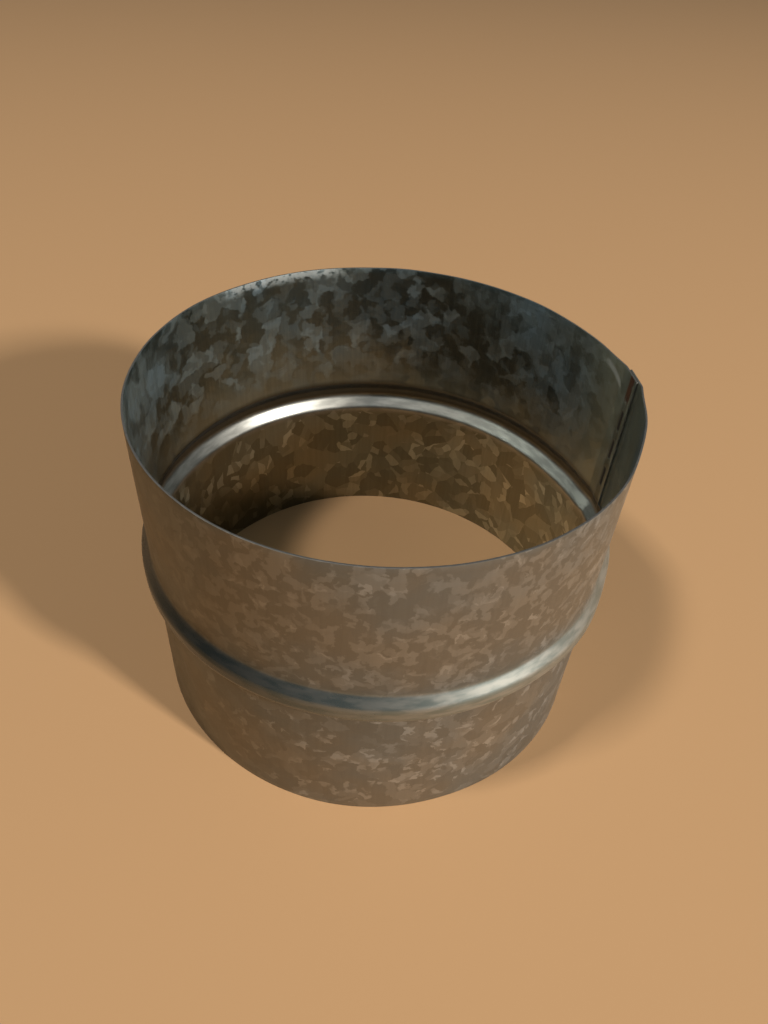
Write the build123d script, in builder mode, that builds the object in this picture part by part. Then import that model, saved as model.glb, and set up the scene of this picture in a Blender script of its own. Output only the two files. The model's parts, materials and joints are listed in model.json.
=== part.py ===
"""Beaded duct collar: a short round connector rolled from one strip of galvanised sheet.

The strip's inner end and outer end are lapped and stitch-welded. Both ends stay flat, so the
seam stands a little proud of the round. A bead rolled outwards at mid-length stops the ducts
that slide over the two ends.
Millimetres, +Z along the duct, origin at the centre of the foot rim, inner strip end on +X.
"""

import os
from math import acos, atan2, degrees

from build123d import *

# Driving dimensions of the round collar
outside_diameter = 149.0  # over the plain round wall, to slide inside a 150 mm duct
length = 110.0  # rim to rim
sheet = 0.6  # sheet thickness

# Driving dimensions of the rolled bead, a trapezoid with rounded corners
bead_width = 12.0  # along the wall, from root to root
bead_crest = 4.0  # along the wall, across the top
bead_height = 2.7  # outwards from the wall
bead_root_radius = 1.5  # on the outside face, where the wall turns into the bead
bead_crest_radius = 3.5  # on the outside face, where a flank turns into the crest

# Driving dimensions of the lapped seam
lap = 7.2  # overlap of the two strip ends
seam_rise = 1.5  # how far the inner layer stands out of the round at the middle of the lap
seam_step = 2.0  # from each end of the lap to the corner where a layer turns down to the round
seam_bend_radius = 6.0  # on the outside face, at those corners

# Driving dimensions of the stitch weld, pressed a little into the inside of the lap
stitch_length = 8.0
stitch_width = 2.0
stitch_depth = 0.15
stitch_pitch = 11.3
stitch_margin = 0.8  # from a rim to its first stitch
stitch_inset = 2.6  # from the inner strip end to the middle of the stitches

# Places along the wall
outer_radius = outside_diameter / 2
bead_low = (length - bead_width) / 2
bead_high = (length + bead_width) / 2
crest_low = (length - bead_crest) / 2
crest_high = (length + bead_crest) / 2

# Lap: two flat layers, square to the radius through the lap's middle, with the inner end on +X
lap_radius = outer_radius + seam_rise
lap_azimuth = degrees(atan2(lap / 2, lap_radius))
seam_normal = Vector(1, 0).rotate(Axis.Z, lap_azimuth)
seam_run = seam_normal.rotate(Axis.Z, 90)
inner_end = seam_normal * lap_radius - seam_run * lap / 2
outer_end = inner_end + seam_normal * sheet + seam_run * lap

# Beyond the lap each layer turns down and runs on to its own tangent of the round
inner_corner = inner_end + seam_run * (lap + seam_step)
outer_corner = outer_end - seam_run * (lap + seam_step)
corner_azimuths = [degrees(atan2(corner.Y, corner.X)) for corner in (inner_corner, outer_corner)]
inner_azimuth = corner_azimuths[0] + degrees(acos(outer_radius / inner_corner.length))
outer_azimuth = corner_azimuths[1] - degrees(acos(outer_radius / outer_corner.length))
inner_tangent = Vector(outer_radius, 0).rotate(Axis.Z, inner_azimuth)
outer_tangent = Vector(outer_radius, 0).rotate(Axis.Z, outer_azimuth)

# Stitches that fit on the plain wall between the bead and a rim
stitch_count = int((bead_low - stitch_margin) / stitch_pitch)
stitch_middle = stitch_margin + (stitch_pitch * (stitch_count - 1) + stitch_length) / 2
stitch_line = inner_end - seam_normal * sheet + seam_run * stitch_inset

# Sheet section in the wall's own plane: outside face on X = 0, foot on Y = 0
with BuildSketch() as section:
    with BuildLine():
        FilletPolyline(
            (0, 0),
            (0, bead_low),
            (bead_height, crest_low),
            (bead_height, crest_high),
            (0, bead_high),
            (0, length),
            radius=[bead_root_radius, bead_crest_radius, bead_crest_radius, bead_root_radius],
        )
        offset(amount=sheet, side=Side.LEFT)
    make_face()

with BuildPart() as duct_collar:
    # Inner strip end and the whole round, up to where the outer end leaves it
    with BuildLine() as round_run:
        FilletPolyline(inner_end, inner_corner, inner_tangent, radius=seam_bend_radius)
        CenterArc((0, 0), outer_radius, inner_azimuth, 360 + outer_azimuth - inner_azimuth)
    with BuildSketch(Plane(inner_end, x_dir=seam_normal, z_dir=-seam_run)):
        add(section.sketch_local)
    sweep(path=round_run.line)

    # Outer strip end, laid over the inner one
    with BuildLine() as outer_run:
        FilletPolyline(outer_end, outer_corner, outer_tangent, radius=seam_bend_radius)
    with BuildSketch(Plane(outer_end, x_dir=seam_normal, z_dir=-seam_run)):
        add(section.sketch_local)
    sweep(path=outer_run.line)

    # Stitch weld down the lap, on both sides of the bead
    with BuildSketch(Plane(stitch_line, x_dir=-seam_run, z_dir=-seam_normal)):
        with Locations((0, stitch_middle), (0, length - stitch_middle)):
            with GridLocations(0, stitch_pitch, 1, stitch_count):
                SlotOverall(stitch_length, stitch_width, rotation=90)
    extrude(amount=-stitch_depth, mode=Mode.SUBTRACT)

os.makedirs("parts", exist_ok=True)
duct_collar.part.label = "duct_collar"
export_step(duct_collar.part, "parts/duct_collar.step")
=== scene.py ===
"""Looks of a beaded duct collar: a short round connector rolled from one strip of galvanised sheet."""

import json
from math import acos, atan2, cos, exp, hypot, pi, radians, sin, sqrt, tan

import bmesh
import bpy
from mathutils import Matrix, Vector, noise


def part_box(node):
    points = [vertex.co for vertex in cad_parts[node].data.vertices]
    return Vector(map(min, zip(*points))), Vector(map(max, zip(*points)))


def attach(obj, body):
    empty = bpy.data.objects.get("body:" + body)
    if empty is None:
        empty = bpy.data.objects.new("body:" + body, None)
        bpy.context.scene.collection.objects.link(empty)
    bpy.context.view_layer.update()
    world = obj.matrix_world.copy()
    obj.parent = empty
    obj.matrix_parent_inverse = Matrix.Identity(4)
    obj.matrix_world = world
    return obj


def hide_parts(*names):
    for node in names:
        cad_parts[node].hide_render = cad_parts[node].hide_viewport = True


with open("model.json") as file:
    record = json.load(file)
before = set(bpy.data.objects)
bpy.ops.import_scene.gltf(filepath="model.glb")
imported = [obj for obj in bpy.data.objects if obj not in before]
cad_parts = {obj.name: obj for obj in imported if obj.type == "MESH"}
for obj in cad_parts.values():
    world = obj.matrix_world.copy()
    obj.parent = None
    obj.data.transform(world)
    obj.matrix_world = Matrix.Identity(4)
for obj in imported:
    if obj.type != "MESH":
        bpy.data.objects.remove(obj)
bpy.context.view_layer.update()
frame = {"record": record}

# Strip of the collar
# One strip of galvanised steel sheet, cut flat, with a seam weld pressed along the lap of its two
# ends. The flat strip lies along X here, with its height along Y and its outside face up.
mm = 0.001
mounts = {mount["name"]: mount["dims"] for mount in frame["record"]["mounts"]}
collar_low, collar_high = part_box("duct_collar")
length = collar_high.z
wall_radius = mounts["upper_spigot"]["r_mm"] * mm
sheet = wall_radius - mounts["duct_bore"]["r_mm"] * mm

# Bead, rolled outwards at mid-length
bead_middle = length / 2
bead_half = bead_middle - mounts["upper_spigot"]["length_mm"] * mm
bead_height = -collar_low.x - wall_radius
crest_half = 2.0 * mm
root_radius = 1.5 * mm
crest_radius = 3.5 * mm

# Lap: two flat layers, square to the radius through the lap's middle, with the inner end on +X
lap = 7.2 * mm
lap_gap = 0.15 * mm
seam_rise = 1.5 * mm
seam_step = 2.0 * mm
seam_bend_radius = 6.0 * mm
lap_radius = wall_radius + seam_rise
lap_azimuth = atan2(lap / 2, lap_radius)
seam_normal = Vector((cos(lap_azimuth), sin(lap_azimuth)))
seam_run = Vector((-sin(lap_azimuth), cos(lap_azimuth)))
inner_end = seam_normal * lap_radius - seam_run * lap / 2

# Beyond the lap each layer turns down and runs on to its own tangent of the round
inner_corner = inner_end + seam_run * (lap + seam_step)
outer_corner = inner_end + seam_normal * (sheet + lap_gap) - seam_run * seam_step
inner_azimuth = atan2(inner_corner.y, inner_corner.x) + acos(wall_radius / inner_corner.length)
outer_azimuth = atan2(outer_corner.y, outer_corner.x) - acos(wall_radius / outer_corner.length)
inner_turn = inner_azimuth - lap_azimuth
outer_turn = lap_azimuth - outer_azimuth
inner_setback = seam_bend_radius * tan(inner_turn / 2)
outer_setback = seam_bend_radius * tan(outer_turn / 2)
inner_flat = sqrt(inner_corner.length_squared - wall_radius**2) - inner_setback
outer_flat = sqrt(outer_corner.length_squared - wall_radius**2) - outer_setback

# Plan of the outside face from the inner end to the outer end: each run's length and curvature
plan_runs = [
    (lap + seam_step - inner_setback, 0),
    (seam_bend_radius * inner_turn, 1 / seam_bend_radius),
    (inner_flat, 0),
    (wall_radius * (2 * pi + outer_azimuth - inner_azimuth), 1 / wall_radius),
    (outer_flat, 0),
    (seam_bend_radius * outer_turn, 1 / seam_bend_radius),
    (lap + seam_step - outer_setback, 0),
]
strip_length = sum(run for run, curvature in plan_runs)

# Grid of the flat strip, finer at its two ends and across the bead
column = 1.5 * mm
row = 2.2 * mm
end_zone = 12 * mm
bead_zone = bead_half + 1.5 * mm
strip = bmesh.new()
bmesh.ops.create_grid(
    strip,
    x_segments=round(strip_length / column),
    y_segments=round(length / row),
    size=0.5,
    matrix=Matrix.Translation((strip_length / 2, length / 2, 0))
    @ Matrix.Diagonal((strip_length, length, 1, 1)),
)


def edges_between(low, high, axis):
    """Edges of the flat strip that run along one axis and lie between two places on it."""
    found = []
    for edge in strip.edges:
        start, stop = sorted(vert.co[axis] for vert in edge.verts)
        if stop - start > 0.1 * mm and start > low and stop < high:
            found.append(edge)
    return found


for low, high in [(-mm, end_zone), (strip_length - end_zone, strip_length + mm)]:
    bmesh.ops.subdivide_edges(strip, edges=edges_between(low, high, 0), cuts=2, use_grid_fill=True)
bead_edges = edges_between(bead_middle - bead_zone - row, bead_middle + bead_zone + row, 1)
bmesh.ops.subdivide_edges(strip, edges=bead_edges, cuts=6, use_grid_fill=True)

# Thickness and the slightly rounded cut edges
edge_round = 0.1 * mm
bmesh.ops.solidify(strip, geom=strip.faces[:], thickness=sheet)
bmesh.ops.recalc_face_normals(strip, faces=strip.faces[:])
top = max(vert.co.z for vert in strip.verts)
bmesh.ops.translate(strip, verts=strip.verts[:], vec=(0, 0, -top))
cut_edges = [edge for edge in strip.edges if edge.calc_face_angle() > radians(60)]
bmesh.ops.bevel(
    strip,
    geom=cut_edges,
    offset=edge_round,
    offset_type="OFFSET",
    affect="EDGES",
    segments=2,
    profile=0.5,
    material=-1,
)

# Seam weld: a row of stitches that an electrode wheel pressed into the inside of the lap
stitch_length = 8.0 * mm
stitch_half_width = 1.0 * mm
stitch_depth = 0.15 * mm
stitch_pitch = 11.3 * mm
stitch_margin = 0.8 * mm
stitch_count = 4
weld_line = 2.6 * mm
weld_track = 2.2 * mm
stitch_middles = []
for index in range(stitch_count):
    middle = stitch_margin + stitch_length / 2 + stitch_pitch * index
    stitch_middles += [middle, length - middle]

weld_edges = []
for edge in edges_between(-mm, bead_middle - bead_half + mm, 1) + edges_between(
    bead_middle + bead_half - mm, length + mm, 1
):
    middle = (edge.verts[0].co + edge.verts[1].co) / 2
    if middle.z < -sheet / 2 and abs(middle.x - weld_line) < weld_track:
        weld_edges.append(edge)
bmesh.ops.subdivide_edges(strip, edges=weld_edges, cuts=4)


def stitch_at(along, height):
    """How deep a place on the flat strip lies in a stitch, from 0 outside it to 1 in its middle."""
    deepest = 0
    for middle in stitch_middles:
        past = max(abs(height - middle) - (stitch_length / 2 - stitch_half_width), 0)
        away = hypot(along - weld_line, past) / stitch_half_width
        deepest = max(deepest, 1 - away)
    return min(deepest * 2.5, 1)


weld_layer = strip.verts.layers.float.new("weld")
for vert in strip.verts:
    if abs(vert.co.x - weld_line) < weld_track and vert.co.z < -sheet / 2:
        vert[weld_layer] = stitch_at(vert.co.x, vert.co.y)
        vert.co.z += stitch_depth * vert[weld_layer]

# Flat map of the two faces, in metres, with the inside face set apart from the outside one
inside_shift = 1.0
strip_map = strip.loops.layers.uv.new("strip")
for face in strip.faces:
    shift = inside_shift if face.normal.z < -0.5 else 0
    for loop in face.loops:
        loop[strip_map].uv = (loop.vert.co.x, loop.vert.co.y + shift)

# Rolling of the collar
# The beading wheels press the strip outwards at mid-length, and the rolls bend it round. Both ends
# stay flat, because the rolls can't grip them.
flank_turn = atan2(bead_height, bead_half - crest_half)
root_centre = bead_half + root_radius * tan(flank_turn / 2)
crest_centre = crest_half - crest_radius * tan(flank_turn / 2)


def bead_out(height):
    """How far the bead carries the wall outwards at a height."""
    away = abs(height - bead_middle)
    if away >= root_centre:
        return 0
    if away > root_centre - root_radius * sin(flank_turn):
        return root_radius - sqrt(root_radius**2 - (root_centre - away) ** 2)
    if away > crest_centre + crest_radius * sin(flank_turn):
        return (bead_half - away) * tan(flank_turn)
    if away > crest_centre:
        return bead_height - crest_radius + sqrt(crest_radius**2 - (away - crest_centre) ** 2)
    return bead_height


def plan_place(along):
    """Point of the plan and its outwards normal at a length along the strip."""
    point = inner_end.copy()
    heading = lap_azimuth + pi / 2
    for run, curvature in plan_runs:
        step = min(along, run)
        along -= step
        turn = step * curvature
        if curvature:
            point.x += (sin(heading + turn) - sin(heading)) / curvature
            point.y += (cos(heading) - cos(heading + turn)) / curvature
        else:
            point.x += cos(heading) * step
            point.y += sin(heading) * step
        heading += turn
    point.x += cos(heading) * along
    point.y += sin(heading) * along
    return point, Vector((sin(heading), -cos(heading)))


ripple_height = 0.25 * mm
ripple_scale = 28.0
rim_waver = 0.2 * mm
rim_scale = 60.0

# Shallow swells of the wall beside the seam: the azimuth of each, its spread and its height
seam_swells = [
    (radians(-13), radians(6), 0.6 * mm),
    (radians(-27), radians(8), -0.4 * mm),
    (radians(17), radians(5), 0.4 * mm),
]
slope_step = 0.02 * mm
for vert in strip.verts:
    along, height, depth = vert.co
    slope = (bead_out(height + slope_step) - bead_out(height - slope_step)) / (2 * slope_step)
    lean = sqrt(1 + slope**2)
    point, normal = plan_place(along)
    from_ends = min(along, strip_length - along) / (4 * lap)
    azimuth = atan2(point.y, point.x)
    swells = [high * exp(-(((azimuth - middle) / wide) ** 2)) for middle, wide, high in seam_swells]
    ripple = noise.noise((point.x * ripple_scale, point.y * ripple_scale, height * ripple_scale))
    out = bead_out(height) + depth / lean + ripple * ripple_height * min(from_ends, 1) + sum(swells)
    place = point + normal * out
    waver = noise.noise((point.x * rim_scale, point.y * rim_scale, 0)) - 0.5
    vert.co = (place.x, place.y, height - depth * slope / lean + waver * rim_waver * height / length)

collar_mesh = bpy.data.meshes.new("collar")
strip.to_mesh(collar_mesh)
strip.free()
collar_mesh.shade_smooth()
collar_mesh.set_sharp_from_angle(angle=radians(28))
collar = bpy.data.objects.new("collar", collar_mesh)
bpy.context.scene.collection.objects.link(collar)
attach(collar, "root")
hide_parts("duct_collar")

# Zinc of the collar
# Hot-dip zinc, dulled by weather, that froze into grains. Each grain carries flakes that lie at its
# own angle. The beading wheels burnished the bead, the cut edges are bare and the stitches scorched.
zinc = bpy.data.materials.new("galvanised_sheet")
zinc.use_nodes = True
zinc_tree = zinc.node_tree
zinc_shader = zinc_tree.nodes["Principled BSDF"]


def add_node(kind, inputs, **settings):
    """A new node of the zinc with its settings, and its inputs set or linked by name or number."""
    node = zinc_tree.nodes.new(kind)
    for name, value in settings.items():
        setattr(node, name, value)
    for name, value in inputs.items():
        if isinstance(value, bpy.types.NodeSocket):
            zinc_tree.links.new(value, node.inputs[name])
        else:
            node.inputs[name].default_value = value
    return node


def figure(operation, first, second=0.0):
    """One sum on two numbers."""
    return add_node("ShaderNodeMath", {0: first, 1: second}, operation=operation).outputs[0]


def product(first, *others):
    """Numbers multiplied together."""
    for other in others:
        first = figure("MULTIPLY", first, other)
    return first


def arrow(operation, first, second):
    """One sum on two vectors."""
    return add_node("ShaderNodeVectorMath", {0: first, 1: second}, operation=operation).outputs[0]


def swell(first, scale):
    """A vector made longer."""
    node = add_node("ShaderNodeVectorMath", {0: first, "Scale": scale}, operation="SCALE")
    return node.outputs[0]


def parts_of(vector):
    """The three numbers of a vector or colour."""
    return add_node("ShaderNodeSeparateXYZ", {0: vector}).outputs


def spread(value, low, high, to_low=0.0, to_high=1.0):
    """A number carried smoothly from one range to another and held inside it."""
    inputs = {"Value": value, "From Min": low, "From Max": high, "To Min": to_low, "To Max": to_high}
    return add_node("ShaderNodeMapRange", inputs, interpolation_type="SMOOTHSTEP").outputs[0]


def near(value, middle, half, soft):
    """1 within a half width of a middle, falling smoothly to 0 beyond it."""
    away = figure("ABSOLUTE", figure("SUBTRACT", value, middle))
    return spread(away, half + soft, half)


def blend(share, first, second):
    """Two numbers mixed."""
    return add_node("ShaderNodeMix", {0: share, 2: first, 3: second}).outputs[0]


def tint(share, first, second, way="MIX"):
    """Two colours mixed."""
    node = add_node("ShaderNodeMix", {0: share, 6: first, 7: second}, data_type="RGBA", blend_type=way)
    return node.outputs[2]


def shade(first, second):
    """A colour multiplied by another."""
    return tint(1.0, first, second, "MULTIPLY")


def cloud(place, scale, detail=2.0):
    """A noise texture at a place."""
    return add_node("ShaderNodeTexNoise", {"Vector": place, "Scale": scale, "Detail": detail})


def cells(place, scale):
    """A pattern of cells, each with its own colour and middle."""
    inputs = {"Vector": place, "Scale": scale}
    return add_node("ShaderNodeTexVoronoi", inputs, voronoi_dimensions="2D", feature="F1")


def soft_cells(place, scale, softness):
    """The three random numbers of a pattern of cells that run into each other."""
    inputs = {"Vector": place, "Scale": scale, "Smoothness": softness}
    node = add_node("ShaderNodeTexVoronoi", inputs, voronoi_dimensions="2D", feature="SMOOTH_F1")
    return parts_of(node.outputs["Color"])


# Places on the sheet, in millimetres
flat_place = swell(add_node("ShaderNodeUVMap", {}, uv_map="strip").outputs[0], 1000.0)
flat_parts = parts_of(flat_place)
along_mm = flat_parts[0]
room = add_node("ShaderNodeTexCoord", {})
height_mm = product(parts_of(room.outputs["Object"])[2], 1000.0)
inside = spread(flat_parts[1], 400.0, 600.0)
outside = figure("SUBTRACT", 1.0, inside)
top_mm = length / mm
strip_mm = strip_length / mm
bead_mm = bead_middle / mm
bead_half_mm = bead_half / mm
weld_mm = weld_line / mm
below_bead = spread(height_mm, bead_mm + 1.0, bead_mm - 1.0)
above_bead = figure("SUBTRACT", 1.0, below_bead)
bead_away = figure("ABSOLUTE", figure("SUBTRACT", height_mm, bead_mm))
patchy = cloud(flat_place, 0.5, 4.0).outputs[0]


def by_lap(start_near, start_far, end_far, end_near):
    """1 beside the lap at either end of the strip, falling smoothly to 0 away from it."""
    at_start = spread(along_mm, start_far, start_near)
    at_end = spread(along_mm, end_far, end_near)
    return figure("ADD", at_start, at_end)


# Grains of the zinc, with torn edges that are straighter inside, below the bead
middle_grey = (0.5, 0.5, 0.5)
tear = blend(product(inside, below_bead), 1.0, 0.25)
spangle_place = swell(flat_place, blend(inside, 1.0, blend(below_bead, 0.85, 0.75)))
coarse_drift = arrow("SUBTRACT", cloud(spangle_place, 0.22).outputs[1], middle_grey)
coarse_tear = swell(coarse_drift, product(tear, 7.0))
fine_drift = arrow("SUBTRACT", cloud(spangle_place, 0.9).outputs[1], middle_grey)
fine_tear = swell(fine_drift, product(tear, 2.0))
torn_place = arrow("ADD", spangle_place, arrow("ADD", coarse_tear, fine_tear))
grains = cells(torn_place, 0.19)
grain_parts = parts_of(grains.outputs["Color"])
grain_place = add_node(
    "ShaderNodeVectorRotate",
    {
        "Vector": arrow("SUBTRACT", torn_place, grains.outputs["Position"]),
        "Angle": product(grain_parts[1], 6.283),
    },
    rotation_type="Z_AXIS",
).outputs[0]
grain_shift = swell(grains.outputs["Color"], 60.0)
grain_pale = spread(grain_parts[0], 0.4, 0.85)

# Flakes in each grain, long one way and clustered in some grains, and soft patches over them
flake_place = arrow("ADD", arrow("MULTIPLY", grain_place, (0.2, 0.42, 1)), grain_shift)
flakes = cells(flake_place, 1.0)
flake_parts = parts_of(flakes.outputs["Color"])
flake_luck = figure("SUBTRACT", flake_parts[0], product(grain_parts[2], 0.45))
flake_pale = product(spread(flake_luck, 0.42, 0.78), spread(flakes.outputs["Distance"], 0.68, 0.3))
shard_pale = spread(flake_luck, 0.38, 0.95)
patches = soft_cells(torn_place, 0.20, 0.3)
patch_pale = spread(patches[0], 0.42, 0.66)
clouds = soft_cells(torn_place, 0.42, 0.6)
cloud_pale = spread(clouds[1], 0.45, 0.75)

# Tone of the spangle on the outside, on the inside above the bead and on the inside below it
crisp_tone = figure("ADD", product(grain_pale, 0.25), product(flake_pale, 0.7))
soft_tone = figure("ADD", product(cloud_pale, 0.36), product(flake_pale, 0.46))
outside_tone = blend(below_bead, soft_tone, crisp_tone)
upper_tone = figure("ADD", product(patch_pale, 0.6), product(cloud_pale, 0.4))
upper_tone = product(upper_tone, spread(height_mm, bead_mm + 3.0, bead_mm + 27.0, 0.25, 1.0))
lower_tone = figure("ADD", product(grain_pale, 0.25), product(shard_pale, 0.75))
inside_tone = blend(below_bead, upper_tone, lower_tone)
lap_inside = product(spread(along_mm, strip_mm - 34.0, strip_mm - 24.0), inside)
tone = product(blend(inside, outside_tone, inside_tone), spread(lap_inside, 0.0, 1.0, 1.0, 0.2))

# Colour of the zinc, stained warmer and cooler in wide patches and streaked by the rolls
stain = spread(cloud(flat_place, 0.03, 3.0).outputs[0], 0.35, 0.65)
outside_zinc = tint(tone, (0.190, 0.187, 0.174, 1), (0.335, 0.325, 0.308, 1))
upper_zinc = tint(tone, (0.280, 0.328, 0.330, 1), (0.358, 0.446, 0.490, 1))
lower_zinc = tint(tone, (0.200, 0.196, 0.160, 1), (0.515, 0.495, 0.405, 1))
# Painted light: the inside below the bead is lighter and cooler beside the lap, a little darker away
# from it
lower_lit_side = by_lap(25.0, 100.0, 370.0, 445.0)
lower_zinc = shade(lower_zinc, tint(lower_lit_side, (0.86, 0.88, 0.86, 1), (1.45, 1.56, 1.62, 1)))
inside_zinc = tint(below_bead, upper_zinc, lower_zinc)
colour = tint(inside, outside_zinc, inside_zinc)
colour = shade(colour, tint(stain, (1.07, 1.0, 0.91, 1), (0.94, 1.0, 1.06, 1)))
roll_place = arrow("MULTIPLY", flat_place, (1.0, 0.03, 1))
roll_lines = spread(cloud(roll_place, 0.8, 4.0).outputs[0], 0.3, 0.7)
roll_shade = tint(inside, (0.94, 0.94, 0.94, 1), (0.90, 0.90, 0.90, 1))
colour = tint(roll_lines, shade(colour, roll_shade), colour)
rough = blend(tone, blend(inside, 0.40, 0.28), blend(inside, 0.48, 0.38))
metal = blend(inside, blend(tone, 0.78, 0.66), blend(tone, 1.0, 0.92))

# Painted shade outside: browner away from the lap, paler beside it. Dull olive inside, by the lap
outside_lit_side = by_lap(40.0, 150.0, 270.0, 365.0)
outside_painted_shade = tint(outside_lit_side, (0.50, 0.43, 0.28, 1), (1.12, 1.15, 1.17, 1))
colour = tint(outside, colour, shade(colour, outside_painted_shade))
lap_pale = figure("ADD", product(spread(along_mm, 45.0, 8.0), inside), product(lap_inside, 0.8))
lap_pale = product(lap_pale, above_bead)
colour = tint(product(lap_pale, 0.7), colour, (0.36, 0.35, 0.225, 1))
metal = figure("SUBTRACT", metal, product(lap_pale, 0.22))

# Burnish of the bead by the wheels: the upper flank and crest outside, the lower flank inside
wheel_place = arrow("MULTIPLY", flat_place, (0.12, 0.5, 1))
wheel_marks = spread(cloud(wheel_place, 1.0, 3.0).outputs[0], 0.35, 0.65)
outside_reach = spread(bead_away, bead_half_mm + 1.8, bead_half_mm - 1.6)
outside_reach = product(outside_reach, spread(height_mm, bead_mm - 3.2, bead_mm - 1.6), outside)
inside_reach = spread(bead_away, bead_half_mm + 3.0, bead_half_mm - 0.6)
inside_reach = product(inside_reach, spread(height_mm, bead_mm, bead_mm - 2.0), inside)
burnish = figure("ADD", outside_reach, inside_reach)
outside_burnish = tint(wheel_marks, (0.20, 0.25, 0.26, 1), (0.29, 0.325, 0.33, 1))
# Painted shade on the bead outside away from the lap, and a painted highlight beside it
bead_lit_side = by_lap(60.0, 150.0, 290.0, 385.0)
bead_painted_light = tint(bead_lit_side, (0.17, 0.18, 0.18, 1), (1.33, 1.24, 1.17, 1))
outside_burnish = shade(outside_burnish, bead_painted_light)
inside_burnish = tint(wheel_marks, (0.30, 0.305, 0.295, 1), (0.43, 0.435, 0.42, 1))
# Painted light in the groove inside: dimmed away from the lap, lightened beside it
groove_lit_side = by_lap(95.0, 145.0, 325.0, 375.0)
groove_painted_light = tint(groove_lit_side, (0.70, 0.70, 0.70, 1), (1.6, 1.56, 1.48, 1))
inside_burnish = shade(inside_burnish, groove_painted_light)
colour = tint(burnish, colour, tint(inside, outside_burnish, inside_burnish))
wheel_rough = figure("ADD", product(wheel_marks, 0.08), spread(bead_lit_side, 0.5, 1.0, 0.24, 0.38))
rough = blend(burnish, rough, blend(inside, wheel_rough, 0.41))
metal = blend(burnish, metal, blend(inside, 0.8, 1.0))

# Painted shade in the roof of the groove, which faces down
groove_roof_shade = spread(bead_away, bead_half_mm + 2.2, bead_half_mm - 0.6)
groove_roof_shade = product(groove_roof_shade, spread(height_mm, bead_mm - 2.0, bead_mm), inside)
colour = tint(product(groove_roof_shade, 0.8), colour, (0.05, 0.046, 0.038, 1))

# White rust under the back of the top rim; a painted highlight beside the seam curves down towards it
rim_rust = product(near(along_mm, 150.0, 16.0, 12.0), inside)
rim_rust = product(rim_rust, spread(height_mm, top_mm - 4.5, top_mm - 1.4))
bend_highlight_start = 18.2
bend_highlight_middle = 13.5
bend_highlight_curve = 0.045
bend_highlight_run = figure("POWER", figure("SUBTRACT", bend_highlight_start, along_mm), 2.0)
bend_highlight_height = figure("ADD", height_mm, product(bend_highlight_run, bend_highlight_curve))
bend_highlight = product(near(bend_highlight_height, top_mm - 3.3, 0.35, 1.3), near(along_mm, bend_highlight_middle, 3.0, 3.5))
bend_highlight = product(bend_highlight, inside)
# White rust and the painted highlight beside the seam, made paler and rougher together
rust_and_highlight = figure("MAXIMUM", product(rim_rust, spread(patchy, 0.36, 0.56)), product(bend_highlight, 0.8))
colour = tint(product(rust_and_highlight, 0.7), colour, (0.36, 0.375, 0.375, 1))
rough = blend(rust_and_highlight, rough, 0.6)
metal = figure("SUBTRACT", metal, product(rust_and_highlight, 0.5))

# Bare cut edges
cut_edge = spread(figure("ABSOLUTE", parts_of(room.outputs["Normal"])[2]), 0.62, 0.9)
cut_edge = product(cut_edge, figure("SUBTRACT", 1.0, burnish))
colour = tint(cut_edge, colour, tint(patchy, (0.12, 0.115, 0.11, 1), (0.24, 0.235, 0.225, 1)))
rough = blend(cut_edge, rough, 0.5)

# Scorched stitches in a track darkened by the heat, with a pale line beside it and a rusted top
weld = add_node("ShaderNodeAttribute", {}, attribute_name="weld").outputs["Fac"]
on_wall = product(inside, figure("SUBTRACT", 1.0, burnish))
heat = product(near(along_mm, weld_mm, 1.0, 0.9), on_wall)
colour = tint(product(heat, 0.45), colour, (0.06, 0.05, 0.035, 1))
track_line = product(near(along_mm, weld_mm + 2.1, 0.1, 0.35), on_wall)
colour = tint(product(track_line, 0.5), colour, (0.32, 0.31, 0.27, 1))
rust = product(near(along_mm, weld_mm, 1.2, 0.5), spread(height_mm, top_mm - 10.5, top_mm - 7.5))
rust = product(rust, inside, spread(patchy, 0.25, 0.45))
colour = tint(weld, colour, (0.022, 0.015, 0.010, 1))
colour = tint(rust, colour, tint(patchy, (0.045, 0.020, 0.008, 1), (0.10, 0.038, 0.013, 1)))
scorch = figure("MAXIMUM", weld, rust)
rough = blend(scorch, rough, 0.75)
metal = figure("SUBTRACT", metal, product(scorch, 0.6))
zinc_tree.links.new(colour, zinc_shader.inputs["Base Color"])
zinc_tree.links.new(rough, zinc_shader.inputs["Roughness"])
zinc_tree.links.new(metal, zinc_shader.inputs["Metallic"])

# Tilt of the grains and flakes
plain = figure("SUBTRACT", 1.0, burnish)
grain_tilt = swell(arrow("SUBTRACT", grains.outputs["Color"], middle_grey), product(plain, 0.05))
flake_tilt = swell(arrow("SUBTRACT", flakes.outputs["Color"], middle_grey), product(plain, 0.04))
facing = add_node("ShaderNodeNewGeometry", {}).outputs["Normal"]
tilted = arrow("ADD", facing, arrow("ADD", grain_tilt, flake_tilt))
tilted = add_node("ShaderNodeVectorMath", {0: tilted}, operation="NORMALIZE").outputs[0]
zinc_tree.links.new(tilted, zinc_shader.inputs["Normal"])
collar_mesh.materials.append(zinc)

# Floor
# A wide plain floor in a warm pale colour that the collar stands on.
floor_radius = 4.0
floor_bm = bmesh.new()
bmesh.ops.create_circle(floor_bm, cap_ends=True, segments=96, radius=floor_radius)
floor_mesh = bpy.data.meshes.new("floor")
floor_bm.to_mesh(floor_mesh)
floor_bm.free()
floor = bpy.data.objects.new("floor", floor_mesh)
bpy.context.scene.collection.objects.link(floor)
floor_paint = bpy.data.materials.new("floor_paint")
floor_paint.use_nodes = True
floor_shader = floor_paint.node_tree.nodes["Principled BSDF"]
floor_shader.inputs["Base Color"].default_value = (0.47, 0.28, 0.14, 1)
floor_shader.inputs["Roughness"].default_value = 0.9
floor_mesh.materials.append(floor_paint)

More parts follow.
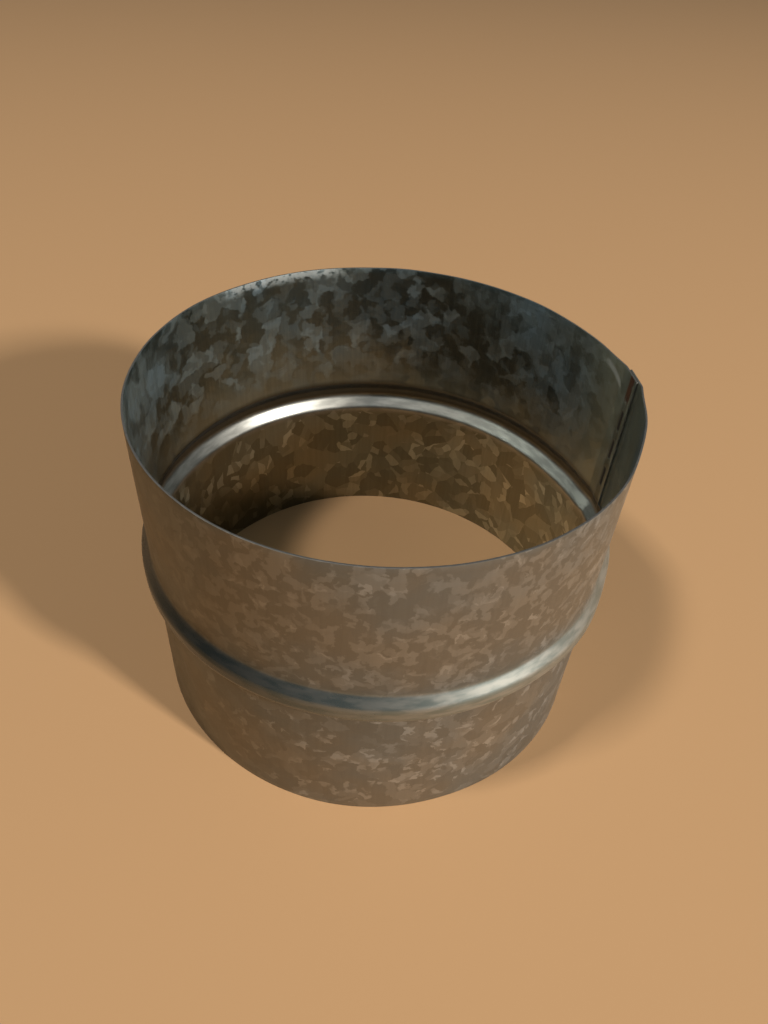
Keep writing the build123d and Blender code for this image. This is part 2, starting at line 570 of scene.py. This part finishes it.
# Studio light
# A soft box low on the front right, one high on the left and a wide dim one high behind the camera,
# in a dim room.
room_light = bpy.data.worlds.new("room")
room_light.use_nodes = True
room_light.node_tree.nodes["Background"].inputs["Color"].default_value = (0.75, 0.92, 1.0, 1)
room_light.node_tree.nodes["Background"].inputs["Strength"].default_value = 0.12
bpy.context.scene.world = room_light


def soft_box(name, place, aim, size, power, colour):
    """A square lamp at a place, turned towards a point."""
    lamp = bpy.data.lights.new(name, "AREA")
    lamp.size = size
    lamp.energy = power
    lamp.color = colour
    holder = bpy.data.objects.new(name, lamp)
    holder.location = place
    holder.rotation_euler = (Vector(aim) - Vector(place)).to_track_quat("-Z", "Y").to_euler()
    bpy.context.scene.collection.objects.link(holder)


soft_box("right_box", (2.3, -2.0, 1.75), (0, 0, 0.05), 0.3, 130, (1.0, 0.93, 0.82))
soft_box("left_box", (-0.9, -0.4, 2.2), (0, 0, 0.05), 0.3, 29, (1.0, 0.93, 0.82))
soft_box("front_box", (-0.2, -1.6, 1.5), (0, 0, 0.05), 1.0, 2.2, (1.0, 0.97, 0.92))

# Camera
# It stands as the photograph's did: low over the front rim and looking down, a little tilted.
photo_height = 1024
focal_pixels = 778.4
camera_place = Vector((-22.33, -191.24, 235.58)) * mm
camera_yaw = radians(7.27)
camera_pitch = radians(42.61)
camera_roll = radians(4.15)
level_forward = Vector((sin(camera_yaw), cos(camera_yaw), 0))
level_right = Vector((cos(camera_yaw), -sin(camera_yaw), 0))
forward = level_forward * cos(camera_pitch) - Vector((0, 0, sin(camera_pitch)))
level_up = level_right.cross(forward)
right = level_right * cos(camera_roll) + level_up * sin(camera_roll)
up = level_up * cos(camera_roll) - level_right * sin(camera_roll)
lens = bpy.data.cameras.new("camera")
lens.sensor_width = 36
lens.lens = focal_pixels * lens.sensor_width / photo_height
lens.clip_start = 0.01
camera = bpy.data.objects.new("camera", lens)
camera_turn = Matrix((right, up, -forward)).transposed().to_4x4()
camera.matrix_world = Matrix.Translation(camera_place) @ camera_turn
bpy.context.scene.collection.objects.link(camera)
bpy.context.scene.camera = camera
bpy.context.scene.view_settings.view_transform = "Standard"
